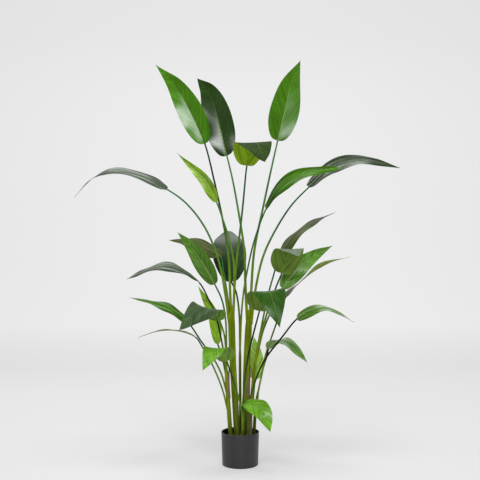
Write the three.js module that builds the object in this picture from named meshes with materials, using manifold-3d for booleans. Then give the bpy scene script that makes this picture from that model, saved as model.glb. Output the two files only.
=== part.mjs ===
// A bird of paradise plant of 26 leaves in a plain round pot.
// Millimetres, +Z up. The origin is the middle of the pot's underside, and -Y is the front.
import * as THREE from 'three';
import { mergeVertices } from 'three/addons/utils/BufferGeometryUtils.js';
import Module from 'manifold-3d';

const wasm = await Module();
wasm.setup();

// Pot: a thin straight-sided shell, a little wider at the rim.
const potHeight = 145;
const potRimRadius = 83.5;
const potFootRadius = 79;
const potWall = 3;
const potFloor = 4;
const potEdge = 1.2;
const potSides = 48;

// Soil: fills the pot to a thumb's width below the rim, slightly domed. The stems' holes are
// plain and end at one depth.
const soilTop = 118;
const soilDome = 4;
const soilSides = 36;
const soilClearance = 1;
const soilShoulder = 6;
const stemDepth = 60;

// Fits between touching pieces.
const gap = 0.4;

// Stems: the round stalks, thick at the root and slim where the blade begins.
const trunkSides = 8;
const stalkSides = 6;
const stationsPerSpan = 3;
const stalkTipRadius = 3.4;

// Blades: a thin leaf with a raised rib under it, a round base and a pointed tip.
const bladeThickness = 1.3;
const ribDepth = 3;
const ribHalfWidth = 4;
const ribFade = 0.8;
const tipHalfWidth = 1;
const baseHalfWidth = 2.6;
const lobeReach = 0.04;
const lobeSize = 1 / 9;
const wavesALeaf = 2.2;
const fullWaveHalfWidth = 30;
const bladeRows = 9;
const broadBlade = 120;
const broadBladeRows = 11;
const broadBladeKnot = 0.55;
const rowSpread = 1.2;

const leafColours = {
  leaf_lime: '#6f9f26',
  leaf_bright: '#3f8a2a',
  leaf_deep: '#2b4f27',
  leaf_olive: '#5d6a3c',
};
const finish = (colour, roughness) =>
  new THREE.MeshStandardMaterial({ color: colour, roughness, metalness: 0 });

// Shoots: each stands in its own hole in the soil. A shoot with several leaves has a stem, given
// by its centre line from the soil up and by its radius at the foot and at the top.
const shoots = {
  shoot_a: {
    radii: [13, 16.5],
    stem: [[-14, -4], [-25, -4, 330], [-33, -4, 470], [-38, -4, 640], [-39, -4, 700]],
  },
  shoot_b: {
    radii: [13, 16.5],
    stem: [[24, 8], [25, 8, 300], [30, 8, 460], [38, 8, 615], [41, 8, 680]],
  },
  shoot_c: {
    radii: [6.5, 6],
    stem: [[3, 32], [0, 32, 275], [-1, 30, 455], [-1, 30, 540]],
  },
  shoot_d: {
    radii: [8, 6.5],
    stem: [[45, -2], [50, -2, 285], [63, 0, 425], [70, 0, 485]],
  },
  shoot_e: {
    radii: [10, 9],
    stem: [[-43, 2], [-49, 2, 215], [-55, 2, 300], [-60, 2, 390], [-62, 1, 440]],
  },
  shoot_f: {
    radii: [7.5, 6.5],
    stem: [[62, 14], [66, 14, 215], [75, 13, 290], [82, 9, 335]],
  },
  shoot_g: {
    radii: [6.5, 5.5],
    stem: [[12, -42], [13, -43, 175], [12, -45, 215]],
  },
  shoot_h: {},
  shoot_i: {},
  shoot_j: {},
};

// Leaves: the stalk's centre line up to the blade, then the blade's rib from base to tip.
// root: the stalk's radius where it leaves its shoot. width: the blade's full width.
// taper: how pointed the tip is. shoulder: how narrow the base is. across: the way the blade's
// second half lies, and acrossTip the same at the tip. cup: how far both halves are raised, in
// degrees. uneven: how much narrower the second half is. wave: height of the edge's waves.
const leaves = [
  { name: 'leaf_01', shoot: 'shoot_a', colour: 'leaf_bright', root: 6.5, width: 120, taper: 1.25,
    stalk: [[-38, -4, 615], [-44, -4, 745], [-51, 4, 915], [-73, 14, 1055], [-116, 24, 1255]],
    rib: [[-158, 35, 1420], [-221, 85, 1565], [-296, 138, 1695], [-400, 230, 1817]],
    across: [-0.85, 0.1, -0.5], cup: 14, wave: 4 },
  { name: 'leaf_02', shoot: 'shoot_b', colour: 'leaf_deep', root: 6.5, width: 139, taper: 0.95,
    stalk: [[32, 9, 615], [24, 17, 770], [16, 26, 960], [-5, 38, 1100], [-32, 52, 1250]],
    rib: [[-60, 70, 1370], [-107, 140, 1562], [-143, 200, 1672], [-204, 270, 1759]],
    across: [-0.95, 0.17, -0.28], cup: 10, wave: 5 },
  { name: 'leaf_03', shoot: 'shoot_a', colour: 'leaf_lime', root: 6, width: 158, taper: 0.95, uneven: 0.14,
    stalk: [[-32, -6, 615], [-22, -10, 835], [-5, -16, 990], [12, -26, 1145]],
    rib: [[29, -40, 1315], [42, -75, 1379], [67, -150, 1403], [100, -300, 1306]],
    across: [1, 0, -0.02], acrossTip: [1, 0.1, 0.15], cup: 0, wave: 4 },
  { name: 'leaf_04', shoot: 'shoot_b', colour: 'leaf_bright', root: 6.5, width: 134, taper: 1.1,
    stalk: [[41, 8, 615], [49, 10, 770], [63, 14, 945], [104, 20, 1145], [137, 25, 1300]],
    rib: [[167, 30, 1433], [202, 75, 1577], [232, 120, 1705], [280, 180, 1824]],
    across: [-0.95, 0.1, 0.3], cup: 9, wave: 2 },
  { name: 'leaf_05', shoot: 'shoot_a', colour: 'leaf_lime', root: 4.5, width: 57, taper: 1.3,
    stalk: [[-27, -9, 770], [-28, -12, 885], [-49, -18, 995], [-76, -22, 1080]],
    rib: [[-104, -25, 1157], [-150, -10, 1248], [-212, 15, 1312], [-284, 40, 1380]],
    across: [-0.7, 0.3, -0.62], cup: 22, wave: 3 },
  { name: 'leaf_06', shoot: 'shoot_a', colour: 'leaf_deep', root: 6.5, width: 118, taper: 1.2,
    stalk: [[-47, -6, 615], [-65, -8, 750], [-95, -12, 900], [-155, -15, 1045], [-238, -18, 1152]],
    rib: [[-320, -20, 1212], [-440, -35, 1273], [-566, -50, 1290], [-645, -60, 1255], [-719, -70, 1174]],
    across: [0, -0.91, -0.41], acrossTip: [0, -1, -0.25], cup: 0, wave: 3 },
  { name: 'leaf_07', shoot: 'shoot_c', colour: 'leaf_bright', root: 5, width: 114,
    stalk: [[-1, 29, 510], [5, 18, 660], [16, 4, 770], [30, -5, 850], [61, -15, 985]],
    rib: [[113, -30, 1126], [167, -55, 1213], [266, -85, 1275], [444, -120, 1299]],
    across: [0, 0.8, 0.58], cup: 1, wave: 3 },
  { name: 'leaf_08', shoot: 'shoot_b', colour: 'leaf_deep', root: 6.5, width: 118, shoulder: 0.4,
    stalk: [[48, 8, 615], [67, 12, 770], [101, 18, 915], [146, 24, 1015], [227, 34, 1143]],
    rib: [[308, 40, 1227], [408, 55, 1313], [535, 65, 1350], [718, 60, 1314]],
    across: [0, 0.87, 0.53], acrossTip: [0, 0.8, 0.66], cup: 3, wave: 3 },
  { name: 'leaf_09', shoot: 'shoot_d', colour: 'leaf_olive', root: 5, width: 102, shoulder: 0.4,
    stalk: [[68, 0, 470], [94, 12, 605], [120, 26, 730], [147, 40, 826]],
    rib: [[172, 50, 905], [229, 68, 993], [306, 95, 1060], [438, 135, 1118]],
    across: [-0.15, 0.88, 0.4], acrossTip: [-0.1, 0.95, 0.15], cup: -8, wave: 4 },
  { name: 'leaf_10', shoot: 'shoot_d', colour: 'leaf_deep', root: 5, width: 138, taper: 1,
    stalk: [[68, -1, 470], [98, -2, 595], [131, 2, 705], [161, 8, 787]],
    rib: [[184, 14, 842], [202, -10, 908], [220, -60, 950], [245, -164, 922]],
    across: [1, 0.05, 0], acrossTip: [1, 0.1, 0.05], cup: 2, wave: 3 },
  { name: 'leaf_11', shoot: 'shoot_d', colour: 'leaf_bright', root: 4.5, width: 86, taper: 1.2,
    stalk: [[62, -2, 420], [80, 2, 500], [101, 14, 585], [141, 30, 680], [168, 38, 733]],
    rib: [[189, 40, 774], [264, 58, 865], [333, 92, 918], [428, 150, 965]],
    across: [-0.57, 0.36, 0.69], cup: 6, wave: 3 },
  { name: 'leaf_12', shoot: 'shoot_f', colour: 'leaf_olive', root: 4.5, width: 94, taper: 2.2,
    stalk: [[97, 3, 405], [112, 8, 480], [139, 22, 558], [176, 54, 655]],
    rib: [[207, 88, 732], [291, 108, 814], [382, 122, 881], [508, 140, 913]],
    across: [0, 1, 0.42], acrossTip: [0, 1, -1.6], cup: 4, wave: 3 },
  { name: 'leaf_13', shoot: 'shoot_h', colour: 'leaf_deep', root: 5.5, width: 148, taper: 1.15,
    stalk: [[7, -26], [12, -32, 268], [21, -45, 388], [38, -68, 505], [61, -95, 603]],
    rib: [[82, -120, 687], [94, -155, 745], [119, -220, 777], [159, -330, 639]],
    across: [1, 0, 0.05], acrossTip: [1, 0.1, 0.1], cup: 2, wave: 4 },
  { name: 'leaf_14', shoot: 'shoot_i', colour: 'leaf_bright', root: 5, width: 80, shoulder: 0.4,
    stalk: [[32, -22], [39, -32, 267], [62, -55, 366], [103, -95, 471], [175, -140, 575]],
    rib: [[240, -165, 659], [292, -185, 695], [372, -205, 705], [470, -225, 650]],
    across: [-0.3, 0.85, 0.45], acrossTip: [0.3, 0.95, 0.05], cup: -6, wave: 3 },
  { name: 'leaf_15', shoot: 'shoot_f', colour: 'leaf_deep', root: 4.5, width: 76,
    stalk: [[79, 10, 315], [103, 0, 429], [118, -3, 478]],
    rib: [[126, -5, 510], [162, -35, 553], [212, -60, 542], [288, -100, 464]],
    across: [0.95, 0.6, -0.05], acrossTip: [0.8, 0.55, 0.15], cup: 0, wave: 3 },
  { name: 'leaf_16', shoot: 'shoot_j', colour: 'leaf_lime', root: 5, width: 72,
    stalk: [[45, 30], [53, 30, 232], [61, 29, 313]],
    rib: [[66, 28, 371], [71, 36, 463], [62, 60, 555]],
    across: [-1, 0.1, 0], cup: 10, wave: 3 },
  { name: 'leaf_17', shoot: 'shoot_g', colour: 'leaf_lime', root: 4.5, width: 90, taper: 0.95,
    stalk: [[12, -43, 165], [14, -44, 205], [14, -48, 250]],
    rib: [[19, -60, 282], [68, -110, 278], [103, -150, 250], [126, -175, 185]],
    across: [0.4, 0.8, 0.25], acrossTip: [0.82, -0.03, 0.55], cup: 4, wave: 3 },
  { name: 'leaf_18', shoot: 'shoot_g', colour: 'leaf_lime', root: 4.5, width: 104,
    stalk: [[12, -43, 150], [5, -50, 249], [-14, -62, 330], [-36, -80, 403]],
    rib: [[-58, -110, 472], [-75, -150, 520], [-107, -205, 537], [-153, -280, 459]],
    across: [1, 0.05, -0.02], cup: 2, wave: 3 },
  { name: 'leaf_19', shoot: 'shoot_e', colour: 'leaf_lime', root: 4.5, width: 54,
    stalk: [[-59, 4, 370], [-74, 8, 445], [-90, 9, 503]],
    rib: [[-99, 10, 529], [-115, 25, 643], [-190, 70, 783]],
    across: [-0.9, 0.1, -0.4], cup: 16, wave: 3 },
  { name: 'leaf_20', shoot: 'shoot_e', colour: 'leaf_deep', root: 4.5, width: 124, taper: 1,
    stalk: [[-61, 0, 410], [-73, -25, 500], [-86, -60, 577]],
    rib: [[-99, -90, 643], [-116, -130, 687], [-151, -190, 704], [-247, -290, 625]],
    across: [0.97, 0, -0.25], acrossTip: [0.97, 0.1, -0.2], cup: 0, wave: 4 },
  { name: 'leaf_21', shoot: 'shoot_e', colour: 'leaf_bright', root: 4.5, width: 88, taper: 1.25,
    stalk: [[-56, 0, 300], [-82, -20, 400], [-118, -35, 474], [-172, -55, 553]],
    rib: [[-230, -70, 639], [-298, -90, 695], [-373, -110, 722], [-471, -140, 746]],
    across: [0, -0.88, -0.46], acrossTip: [0, -1, -0.18], cup: -5, wave: 3 },
  { name: 'leaf_22', shoot: 'shoot_e', colour: 'leaf_olive', root: 4.5, width: 74,
    stalk: [[-50, 1, 215], [-80, -6, 337], [-129, -14, 455], [-168, -21, 524]],
    rib: [[-196, -25, 564], [-273, -20, 591], [-358, -12, 589], [-453, 0, 559]],
    across: [0, -1, 0.12], cup: 6, wave: 2 },
  { name: 'leaf_23', shoot: 'shoot_e', colour: 'leaf_deep', root: 4.5, width: 92, shoulder: 1.1,
    stalk: [[-62, 1, 410], [-68, -6, 560], [-91, -10, 637], [-133, -15, 717]],
    rib: [[-180, -20, 803], [-246, -35, 850], [-340, -60, 876], [-489, -90, 822]],
    across: [-0.1, -0.93, -0.33], cup: 0, wave: 4 },
  { name: 'leaf_24', shoot: 'shoot_e', colour: 'leaf_bright', root: 4.5, width: 80, taper: 1.15,
    stalk: [[-61, 0, 410], [-61, -12, 526], [-64, -20, 638], [-80, -30, 727]],
    rib: [[-112, -35, 797], [-163, -20, 885], [-219, 20, 961], [-283, 70, 1026]],
    across: [-0.8, 0.1, -0.6], cup: 10, wave: 3 },
  { name: 'leaf_25', shoot: 'shoot_c', colour: 'leaf_deep', root: 5, width: 160, taper: 0.75,
    stalk: [[-1, 31, 510], [-4, 38, 655], [-18, 50, 755]],
    rib: [[-39, 66, 803], [-49, 98, 881], [-50, 190, 967], [-48, 320, 1033]],
    across: [-0.94, -0.34, 0], cup: 6, wave: 4 },
  { name: 'leaf_26', shoot: 'shoot_a', colour: 'leaf_olive', root: 4.5, width: 110,
    stalk: [[-43, 2, 615], [-54, 11, 725], [-66, 24, 805], [-76, 38, 860]],
    rib: [[-87, 50, 914], [-146, 70, 950], [-219, 95, 981], [-325, 120, 989]],
    across: [-0.2, -0.85, -0.5], cup: -5, wave: 3 },
];

// Dry sheaths: what is left of old leaf bases, thin papery shells clasping three of the stems.
// facing: the way a sheath looks, and spread: how far round the stem each side reaches, in degrees.
const sheathThickness = 1;
const sheathClearance = 0.7;
const sheathFlare = 2.5;
const sheathSides = 4;
const sheathRows = 6;
const curveSamples = 400;
const sheaths = [
  { name: 'sheath_1', shoot: 'shoot_e', low: 290, high: 420, facing: -35, spread: 60 },
  { name: 'sheath_2', shoot: 'shoot_b', low: 270, high: 440, facing: -20, spread: 65 },
  { name: 'sheath_3', shoot: 'shoot_d', low: 128, high: 235, facing: -95, spread: 60 },
];

const object = new THREE.Group();

// Adds one named piece to the object.
function add(name, geometry, material) {
  const mesh = new THREE.Mesh(geometry, material);
  mesh.name = name;
  object.add(mesh);
}

// Geometry from a list of corner points and a list of triangles.
function solid(corners, triangles) {
  const geometry = new THREE.BufferGeometry();
  const numbers = corners.flatMap((p) => [p.x, p.y, p.z]);
  geometry.setAttribute('position', new THREE.Float32BufferAttribute(numbers, 3));
  geometry.setIndex(triangles.flat());
  geometry.computeVertexNormals();
  return geometry;
}

// Joins or cuts closed geometries.
function toSolid(geometry) {
  const bare = geometry.clone();
  bare.deleteAttribute('normal');
  bare.deleteAttribute('uv');
  const merged = mergeVertices(bare, 1e-4);
  const mesh = new wasm.Mesh({
    numProp: 3,
    vertProperties: new Float32Array(merged.attributes.position.array),
    triVerts: new Uint32Array(merged.index.array),
  });
  return new wasm.Manifold(mesh);
}

function toGeometry(manifold) {
  const mesh = manifold.getMesh();
  const geometry = new THREE.BufferGeometry();
  geometry.setAttribute('position', new THREE.BufferAttribute(mesh.vertProperties, 3));
  geometry.setIndex(new THREE.BufferAttribute(mesh.triVerts, 1));
  geometry.computeVertexNormals();
  return geometry;
}

function fuse(parts) {
  return toGeometry(parts.map(toSolid).reduce((whole, next) => whole.add(next)));
}

function cut(whole, parts) {
  return toGeometry(parts.map(toSolid).reduce((rest, next) => rest.subtract(next), toSolid(whole)));
}

// A smooth curve through points. A point with no height is a foot in the soil: the stem rises
// straight from its depth to the soil's top there.
function smoothCurve(points) {
  const knots = points.flatMap(([x, y, z]) =>
    z === undefined ? [[x, y, stemDepth], [x, y, soilTop + soilDome]] : [[x, y, z]]);
  return new THREE.CatmullRomCurve3(knots.map((k) => new THREE.Vector3(...k)), false, 'centripetal');
}

// Points and directions along a stretch of a curve, with a sideways direction carried along it.
function stations(curve, from, to, count) {
  const list = [];
  let side = new THREE.Vector3(1, 0, 0);
  for (let i = 0; i <= count; i += 1) {
    const t = from + ((to - from) * i) / count;
    const point = curve.getPoint(t);
    const along = curve.getTangent(t);
    side = side.clone().addScaledVector(along, -side.dot(along)).normalize();
    const other = along.clone().cross(side);
    list.push({ point, along, side, other });
  }
  return list;
}

// A closed round tube with one radius for each station.
function tube(rings, radii, sides) {
  const corners = rings.flatMap(({ point, side, other }, i) =>
    Array.from({ length: sides }, (_, k) => {
      const turn = (2 * Math.PI * k) / sides;
      return point.clone()
        .addScaledVector(side, radii[i] * Math.cos(turn))
        .addScaledVector(other, radii[i] * Math.sin(turn));
    }));
  const triangles = [];
  for (let i = 0; i + 1 < rings.length; i += 1) {
    for (let k = 0; k < sides; k += 1) {
      const a = i * sides + k;
      const b = i * sides + ((k + 1) % sides);
      triangles.push([a, b, b + sides], [a, b + sides, a + sides]);
    }
  }
  const last = (rings.length - 1) * sides;
  for (let k = 1; k + 1 < sides; k += 1) {
    triangles.push([0, k + 1, k], [last, last + k, last + k + 1]);
  }
  return solid(corners, triangles);
}

// A stem from a curve's start to a share of it, tapering between two radii. With a clearance it
// is the hole that the stem stands in. Without one it stops a gap short of what it carries.
function stem(curve, share, radii, sides, clearance = 0) {
  const spans = Math.round((curve.points.length - 1) * share);
  const rings = stations(curve, 0, share, spans * stationsPerSpan);
  const last = rings.length - 1;
  const sizes = rings.map((_, i) => THREE.MathUtils.lerp(radii[0], radii[1], i / last) + clearance);
  rings[0].point.addScaledVector(rings[0].along, -clearance);
  rings.at(-1).point.addScaledVector(rings.at(-1).along, clearance > 0 ? 0 : -gap);
  return tube(rings, sizes, sides);
}

// Half the blade's width at a share of its length, as a share of the widest.
function outline(share, shoulder, taper) {
  const widest = shoulder / (shoulder + taper);
  const shape = (u) => u ** shoulder * (1 - u) ** taper;
  return shape(share) / shape(widest);
}

// A leaf blade round its rib: two cupped halves, waved edges, and a rib raised below.
function blade(leaf, curve, start) {
  const { across, acrossTip = across, shoulder = 0.5, taper = 1.05, uneven = 0 } = leaf;
  const broad = leaf.width > broadBlade;
  const rows = broad ? broadBladeRows : bladeRows;
  const knots = broad ? [broadBladeKnot, 1] : [1];
  const begin = new THREE.Vector3(...across);
  const end = new THREE.Vector3(...acrossTip);
  const places = Array.from({ length: rows + 1 }, (_, i) => start + (1 - start) * (i / rows) ** rowSpread);
  const points = places.map((t) => curve.getPoint(t));
  const lengths = points.map((p, i) => (i ? p.distanceTo(points[i - 1]) : 0));
  const total = lengths.reduce((sum, step) => sum + step, 0);
  const cup = THREE.MathUtils.degToRad(leaf.cup);
  const upper = [];
  const lower = [];
  let reached = 0;
  places.forEach((t, i) => {
    reached += lengths[i];
    const share = Math.min(reached / total, 1);
    const along = curve.getTangent(t);
    const hint = begin.clone().lerp(end, share);
    const side = hint.addScaledVector(along, -hint.dot(along)).normalize();
    const up = along.clone().cross(side);
    const smallest = THREE.MathUtils.lerp(baseHalfWidth, tipHalfWidth, share);
    const half = Math.max((leaf.width / 2) * outline(share, shoulder, taper), smallest);
    const rib = Math.min(ribHalfWidth / half, 0.35);
    const lobe = leaf.width * lobeSize * (share / lobeReach) * Math.exp(1 - share / lobeReach);
    const waved = leaf.wave * Math.min(half / fullWaveHalfWidth, 1);
    const turn = 2 * Math.PI * wavesALeaf * share + leaf.rib[0][0];
    for (const v of [...knots.map((k) => -k).reverse(), -rib, 0, rib, ...knots]) {
      const reach = half * (v > 0 ? v * (1 - uneven) : v);
      const ripple = waved * v * v * Math.sin(turn + (v > 0 ? 2 : 0));
      const place = points[i].clone()
        .addScaledVector(along, -lobe * v * v + (i === 0 ? gap : 0))
        .addScaledVector(side, reach * Math.cos(cup))
        .addScaledVector(up, Math.abs(reach) * Math.sin(cup) + ripple);
      const out = up.clone().multiplyScalar(Math.cos(cup));
      out.addScaledVector(side, -Math.sign(v) * Math.sin(cup));
      const keel = v === 0 ? ribDepth * (1 - ribFade * share) : 0;
      upper.push(place.clone().addScaledVector(out, bladeThickness / 2));
      lower.push(place.clone().addScaledVector(out, -bladeThickness / 2 - keel));
    }
  });
  return slab(upper, lower, rows);
}

// A closed thin slab between two equal grids of points, split into triangles alike on both faces.
function slab(upper, lower, rows) {
  const triangles = [];
  const under = upper.length;
  const columns = under / (rows + 1);
  const last = columns - 1;
  const wall = (a, b) => triangles.push([a, under + a, under + b], [a, under + b, b]);
  for (let i = 0; i < rows; i += 1) {
    const left = i * columns;
    for (let a = left; a < left + last; a += 1) {
      const d = a + columns;
      triangles.push([a, d, d + 1], [a, d + 1, a + 1]);
      triangles.push([under + a, under + d + 1, under + d], [under + a, under + a + 1, under + d + 1]);
    }
    wall(left, left + columns);
    wall(left + columns + last, left + last);
  }
  for (let a = 0; a < last; a += 1) {
    wall(a + 1, a);
    wall(rows * columns + a, rows * columns + a + 1);
  }
  return solid([...upper, ...lower], triangles);
}

// The pot: one turned shell, its inside open above.
const potSlope = (potRimRadius - potFootRadius) / potHeight;
const potRadius = (height) => potFootRadius + potSlope * height;
const potProfile = [
  [0, 0],
  [potFootRadius - potEdge, 0],
  [potFootRadius, potEdge],
  [potRimRadius, potHeight - potEdge],
  [potRimRadius - potEdge / 2, potHeight],
  [potRimRadius - potWall + potEdge / 2, potHeight],
  [potRimRadius - potWall, potHeight - potEdge],
  [potRadius(potFloor) - potWall, potFloor],
  [0, potFloor],
];
function turned(profile, sides) {
  const points = profile.map(([radius, height]) => new THREE.Vector2(radius, height));
  return new THREE.LatheGeometry(points, sides).rotateX(Math.PI / 2);
}

add('pot', turned(potProfile, potSides), finish('#3c3d3f', 0.6));

// The stems of every shoot, fused with its leaf stalks, and the blades.
const feet = [];
for (const [name, shoot] of Object.entries(shoots)) {
  const pieces = [];
  if (shoot.stem) {
    const curve = smoothCurve(shoot.stem);
    pieces.push(stem(curve, 1, shoot.radii, trunkSides));
    feet.push(stem(curve, 1, shoot.radii, trunkSides, gap));
  }
  for (const leaf of leaves.filter((one) => one.shoot === name)) {
    const curve = smoothCurve([...leaf.stalk, ...leaf.rib]);
    const start = (curve.points.length - leaf.rib.length) / (curve.points.length - 1);
    const radii = [leaf.root, stalkTipRadius];
    pieces.push(stem(curve, start, radii, stalkSides));
    if (!shoot.stem) {
      feet.push(stem(curve, start, radii, stalkSides, gap));
    }
    add(leaf.name, blade(leaf, curve, start), finish(leafColours[leaf.colour], 0.35));
  }
  add(name, fuse(pieces), finish('#5f7f2c', 0.5));
}

// The soil: a low domed plug in the pot, with a plain hole for each stem.
const soilRadius = (height) => potRadius(height) - potWall - soilClearance;
const soilEdge = soilRadius(soilTop);
const soilProfile = [
  [0, potFloor + gap],
  [soilRadius(potFloor), potFloor + gap],
  [soilEdge, soilTop - soilDome],
  [soilEdge - soilShoulder, soilTop],
  [soilEdge / 2, soilTop + soilDome * 0.75],
  [0, soilTop + soilDome],
];
add('soil', cut(turned(soilProfile, soilSides), feet), finish('#17140f', 0.95));

// The dry sheaths: a part of a tube round a stem, narrowing at the foot and to a point at the top.
for (const sheath of sheaths) {
  const { stem: line, radii } = shoots[sheath.shoot];
  const curve = smoothCurve(line);
  const samples = Array.from({ length: curveSamples + 1 }, (_, i) => i / curveSamples);
  const placeAt = (height) => samples.find((t) => curve.getPoint(t).z >= height);
  const rings = stations(curve, placeAt(sheath.low), placeAt(sheath.high), sheathRows);
  const outside = [];
  const inside = [];
  rings.forEach(({ point, along }, i) => {
    const share = i / sheathRows;
    const spread = sheath.spread * Math.sin(Math.PI * THREE.MathUtils.lerp(0.16, 0.97, share));
    const inner = Math.max(...radii) + sheathClearance + sheathFlare * share ** 4;
    const east = new THREE.Vector3(1, 0, 0).addScaledVector(along, -along.x).normalize();
    const north = along.clone().cross(east);
    for (let k = 0; k <= sheathSides; k += 1) {
      const turn = THREE.MathUtils.degToRad(sheath.facing + spread * ((2 * k) / sheathSides - 1));
      const out = east.clone().multiplyScalar(Math.cos(turn)).addScaledVector(north, Math.sin(turn));
      outside.push(point.clone().addScaledVector(out, inner + sheathThickness));
      inside.push(point.clone().addScaledVector(out, inner));
    }
  });
  add(sheath.name, slab(inside, outside, sheathRows), finish('#7d5346', 0.8));
}

export default object;
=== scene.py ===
import math
from functools import partial

import bpy
import numpy as np
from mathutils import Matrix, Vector, noise


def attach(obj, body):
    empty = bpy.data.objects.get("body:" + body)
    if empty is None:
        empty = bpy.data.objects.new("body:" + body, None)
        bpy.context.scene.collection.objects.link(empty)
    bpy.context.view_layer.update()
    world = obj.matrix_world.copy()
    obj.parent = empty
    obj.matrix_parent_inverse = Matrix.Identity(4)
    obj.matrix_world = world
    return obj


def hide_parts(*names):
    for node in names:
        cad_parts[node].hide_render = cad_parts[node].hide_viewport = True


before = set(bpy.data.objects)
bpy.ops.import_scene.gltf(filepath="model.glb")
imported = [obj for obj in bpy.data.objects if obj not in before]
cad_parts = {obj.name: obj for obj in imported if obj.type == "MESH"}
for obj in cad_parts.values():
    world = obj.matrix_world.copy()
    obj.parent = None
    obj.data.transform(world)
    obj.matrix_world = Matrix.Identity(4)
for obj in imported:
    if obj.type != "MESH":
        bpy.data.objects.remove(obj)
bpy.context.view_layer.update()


# ---- Pot -------------------------------------------------
# The round nursery pot: one thin moulded shell of charcoal plastic, a little wider at the rim, with
# rounded edges. It is turned from its profile, and stands on its flat underside.

pot_height = 0.145
pot_rim = 0.0835
pot_foot = 0.079
pot_flare = pot_rim - pot_foot
pot_wall = 0.003
pot_floor = 0.004
pot_edge = 0.0012
pot_fillet = 0.004
pot_sides = 160
# Greys: the plastic's two tones and its upright bands, then a painted shade inside the pot, a painted
# highlight along the rim lip and a painted shade along the bottom edge of the foot.
pot_greys = {"dark": 0.020, "light": 0.028, "band": 0.036, "inside": 0.004, "rim": 0.12, "foot": 0.006}
bands_round, bands_up = 45.0, 4.0
# Heights of the painted highlight along the rim lip and of the painted shade along the foot's bottom
# edge.
rim_highlight_band = (pot_height - 0.0022, pot_height - 0.0004)
foot_shade_band = (0.002, 0.007)


def add_node(tree, kind, inputs=None, **settings):
    """One node. An input is a value, or the output socket that feeds it."""
    made = tree.nodes.new(kind)
    for name, value in settings.items():
        setattr(made, name, value)
    for key, value in (inputs or {}).items():
        if isinstance(value, bpy.types.NodeSocket):
            tree.links.new(value, made.inputs[key])
        else:
            made.inputs[key].default_value = value
    return made


def node(tree, kind, inputs=None, at=0, **settings):
    """One output of a new node."""
    return add_node(tree, kind, inputs, **settings).outputs[at]


def tree_of(*values):
    """The node tree that the first socket among some values is in."""
    return next(value.id_data for value in values if isinstance(value, bpy.types.NodeSocket))


def add_math(operation, first, *others):
    """A sum on numbers that vary over a piece, taken from left to right when there are many."""
    for other in others or (0.0,):
        inputs = {0: first, 1: other}
        first = node(tree_of(first, other), "ShaderNodeMath", inputs, operation=operation)
    return first


plus, minus, times, over = (partial(add_math, name) for name in ("ADD", "SUBTRACT", "MULTIPLY", "DIVIDE"))


def spread(value, low, high, to_low=0.0, to_high=1.0):
    """A number taken from one range to another, and held inside it."""
    inputs = {"Value": value, "From Min": low, "From Max": high, "To Min": to_low, "To Max": to_high}
    return node(tree_of(value), "ShaderNodeMapRange", inputs)


def parts(vector):
    return add_node(tree_of(vector), "ShaderNodeSeparateXYZ", {0: vector}).outputs


def xyz(x, y, z=0.0):
    return node(tree_of(x, y, z), "ShaderNodeCombineXYZ", {0: x, 1: y, 2: z})


def cloud(place, scale=1.0, detail=2.0, roughness=0.5):
    """Soft noise from 0 to 1."""
    inputs = {"Vector": place, "Scale": scale, "Detail": detail, "Roughness": roughness}
    return node(tree_of(place), "ShaderNodeTexNoise", inputs, "Fac")


def add_mix(factor, *colours, blend="MIX"):
    """Two colours mixed. A colour is a socket, three numbers, or one number for a grey."""
    tree = tree_of(factor, *colours)
    first, second = ((c, c, c, 1) if isinstance(c, float) else (*c, 1) if isinstance(c, tuple) else c
                     for c in colours)
    inputs = {0: factor, 6: first, 7: second}
    return node(tree, "ShaderNodeMix", inputs, 2, data_type="RGBA", blend_type=blend)


def layered(colour, *layers):
    """Paints laid over a colour, each as strong as its number says, from one end of its range on."""
    for value, *ends, paint in layers:
        colour = add_mix(spread(value, *ends), colour, paint)
    return colour


def new_group(name, kind, inputs, outputs):
    """A node group. An input is given with its first value, or with its kind if it has none."""
    tree = bpy.data.node_groups.new(name, kind)
    for label, value in inputs.items():
        socket = value if isinstance(value, str) else "Int" if isinstance(value, int) else "Float"
        made = tree.interface.new_socket(label, in_out="INPUT", socket_type="NodeSocket" + socket)
        if socket != value:
            made.default_value = value
    socket = "Geometry" if kind == "GeometryNodeTree" else "Float"
    for label in outputs:
        tree.interface.new_socket(label, in_out="OUTPUT", socket_type="NodeSocket" + socket)
    return tree, tree.nodes.new("NodeGroupInput").outputs, tree.nodes.new("NodeGroupOutput").inputs


def mottle_group():
    """Soft uneven tone and fine grain over any surface, from its own coordinates."""
    inputs = {"Place": "Vector", "Patch Size": 0.05, "Grain Size": 0.001}
    tree, given, result = new_group("surface_mottle", "ShaderNodeTree", inputs, ["Patches", "Grain"])
    for size, detail, label in (("Patch Size", 3.0, "Patches"), ("Grain Size", 2.0, "Grain")):
        tree.links.new(cloud(given["Place"], over(1.0, given[size]), detail), result[label])
    return tree


surface_mottle = mottle_group()


def add_group(tree, group, inputs):
    return add_node(tree, "ShaderNodeGroup", inputs, node_tree=group).outputs


def new_material(name, **sockets):
    """A material with one Principled shader, with its plain numbers set on its own sockets."""
    made = bpy.data.materials.new(name)
    made.use_nodes = True
    shader = made.node_tree.nodes["Principled BSDF"]
    for key, value in sockets.items():
        shader.inputs[key.replace("_", " ")].default_value = value
    return made, made.node_tree, shader, node(made.node_tree, "ShaderNodeTexCoord", at="Object")


def feed(shader, **sockets):
    for key, value in sockets.items():
        shader.id_data.links.new(value, shader.inputs[key.replace("_", " ")])


def add_bump(shader, height, distance, strength=1.0):
    inputs = {"Height": height, "Distance": distance, "Strength": strength}
    feed(shader, Normal=node(shader.id_data, "ShaderNodeBump", inputs))


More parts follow.
